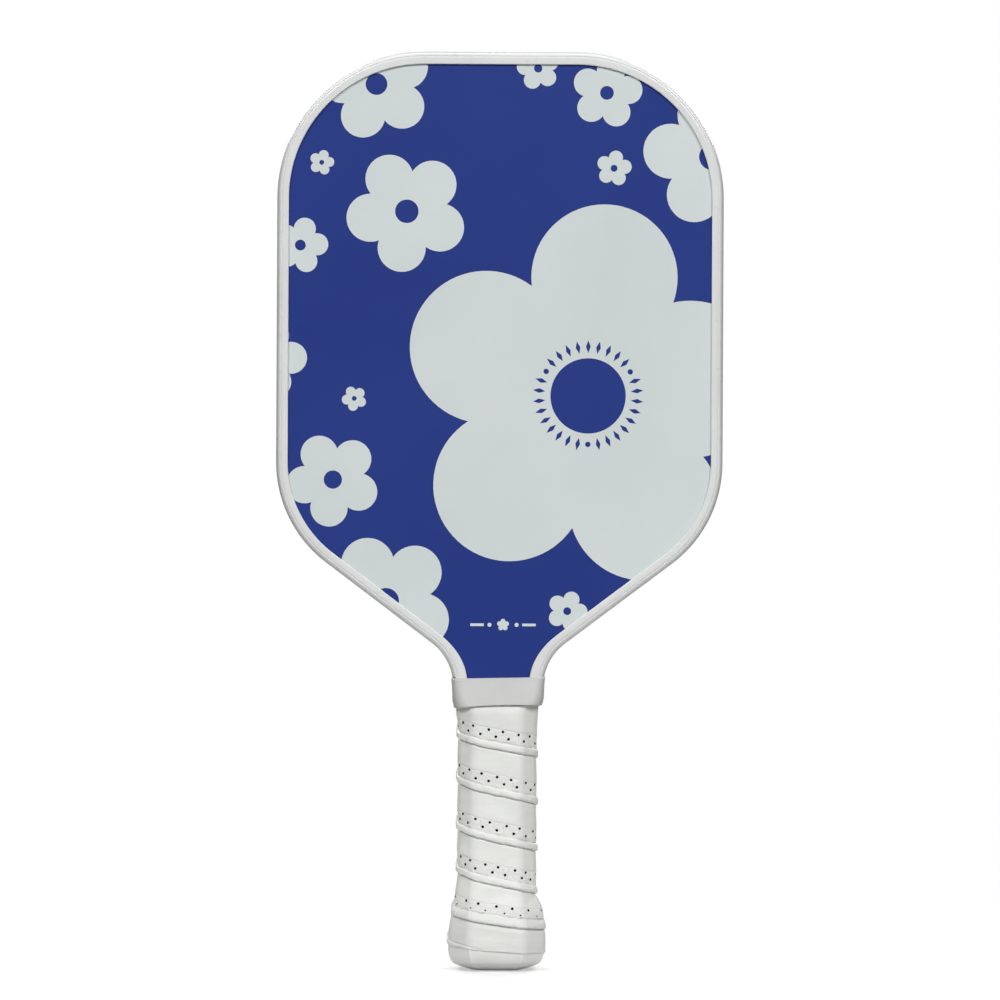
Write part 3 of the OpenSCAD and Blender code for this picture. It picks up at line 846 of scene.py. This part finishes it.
tape_materials = [tape_material(), hole_shade_material(), suede_material()]
make_guard(guard_material())
make_collar(rubber_material("collar_rubber", (0.54, 0.54, 0.53), 0.5))
make_grip(tape_materials)
make_butt(rubber_material("butt_white", (0.77, 0.77, 0.745), 0.45))

# The other nodes keep their CAD shapes
film, ink = film_material(), ink_material()
bond = inner_material("bond_film", (0.55, 0.52, 0.40), 0.5, 200, 0.03 * MM)
cloth = weave_material()
foam = inner_material("handle_foam", (0.58, 0.45, 0.28), 0.8, 900, 0.2 * MM)
core = inner_material("core_plastic", (0.72, 0.72, 0.70), 0.5, 150, 0.1 * MM)
carried = {
    "front_graphic_film": film, "back_graphic_film": film,
    "front_flower_print": ink, "back_flower_print": ink,
    "front_bond_film": bond, "back_bond_film": bond,
    "front_face_sheet": cloth, "back_face_sheet": cloth,
    "honeycomb_core": core,
    "edge_guard_tape": inner_material("foam_tape", (0.8, 0.79, 0.7), 0.7, 800, 0.05 * MM),
    "handle_half_front": foam, "handle_half_back": foam,
    "grip_rib_cord": inner_material("cord_foam", (0.6, 0.6, 0.6), 0.8, 900, 0.1 * MM),
    "finishing_tape": inner_material("vinyl_tape", (0.8, 0.8, 0.8), 0.4, 300, 0.02 * MM)}
for node, mat in carried.items():
    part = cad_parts[node]
    if not part.material_slots:
        part.data.materials.append(mat)
    for place in part.material_slots:
        place.material = mat


# ---------------------------------------------------------------- stage, light, camera

FLOOR_R = 0.75
FLOOR_POINTS = 96
FADE_FROM, FADE_TO = 0.03, 0.7     # distances from the middle where the floor fades out
FLOOR_ALPHA = 0.65                 # in the middle


def make_floor():
    """Pale disc under the paddle that fades out into the white surround."""
    mesh = bpy.data.meshes.new("floor")
    angles = [2 * math.pi * i / FLOOR_POINTS for i in range(FLOOR_POINTS)]
    mesh.from_pydata([(FLOOR_R * math.cos(a), FLOOR_R * math.sin(a), 0) for a in angles], [],
                     [list(range(FLOOR_POINTS))])
    floor = bpy.data.objects.new("floor", mesh)
    floor.location.z = cad_box[0].z - 0.1 * MM
    bpy.context.collection.objects.link(floor)
    mat = bpy.data.materials.new("pale_floor")
    mat.use_nodes = True
    nodes, links = mat.node_tree.nodes, mat.node_tree.links
    bsdf = nodes["Principled BSDF"]
    bsdf.inputs["Base Color"].default_value = (0.9, 0.9, 0.9, 1)
    bsdf.inputs["Roughness"].default_value = 0.9
    bsdf.inputs["Specular IOR Level"].default_value = 0.1
    bsdf.inputs["Emission Color"].default_value = (1, 1, 1, 1)
    bsdf.inputs["Emission Strength"].default_value = 0.12     # lit from below, like a light table
    coords = nodes.new("ShaderNodeTexCoord")
    distance = nodes.new("ShaderNodeVectorMath")
    distance.operation = "LENGTH"
    links.new(coords.outputs["Object"], distance.inputs[0])
    links.new(ramp(mat, distance.outputs["Value"], FADE_FROM, FADE_TO, FLOOR_ALPHA, 0),
              bsdf.inputs["Alpha"])
    mesh.materials.append(mat)


def add_light(name, place, size, power):
    """Soft box turned to the paddle's middle."""
    target = Vector((0, 0, LENGTH / 2))
    data = bpy.data.lights.new(name, "AREA")
    data.shape = "RECTANGLE"
    data.size, data.size_y = size
    data.energy = power
    light = bpy.data.objects.new(name, data)
    light.location = place
    light.rotation_mode = "QUATERNION"
    light.rotation_quaternion = (Vector(place) - target).to_track_quat("Z", "Y")
    bpy.context.collection.objects.link(light)


make_floor()
add_light("key_left", (-0.85, -1.55, 1.45), (0.8, 0.8), 22.6)
add_light("key_right", (0.85, -1.55, 1.35), (0.8, 0.8), 23.2)
add_light("low_fill", (0, -1.7, 0.12), (0.9, 0.2), 1.5)
add_light("back_left", (-0.9, 1.6, 1.3), (0.8, 0.8), 22)
add_light("back_right", (0.9, 1.6, 1.3), (0.8, 0.8), 22)
add_light("top", (0, 0, 2.4), (1.2, 1.2), 14)

# White round about, seen by the camera alone: it lights nothing
world = bpy.data.worlds.new("white_surround")
bpy.context.scene.world = world
world.use_nodes = True
world.node_tree.nodes["Background"].inputs["Color"].default_value = (1, 1, 1, 1)
world.node_tree.nodes["Background"].inputs["Strength"].default_value = 1.0
for ray in ("diffuse", "glossy", "transmission", "scatter"):
    setattr(world.cycles_visibility, ray, False)

bpy.context.scene.view_settings.view_transform = "Standard"

# Square on from the front. The paddle leans a quarter of a degree in the view.
view_span, distance = 0.4445, 2.2
camera_data = bpy.data.cameras.new("camera")
camera_data.lens = camera_data.sensor_width * distance / view_span
camera = bpy.data.objects.new("camera", camera_data)
camera.location = (0.0004, -distance, 0.2083)
camera.rotation_euler = (math.pi / 2, math.radians(-0.28), 0)
bpy.context.collection.objects.link(camera)
bpy.context.scene.camera = camera
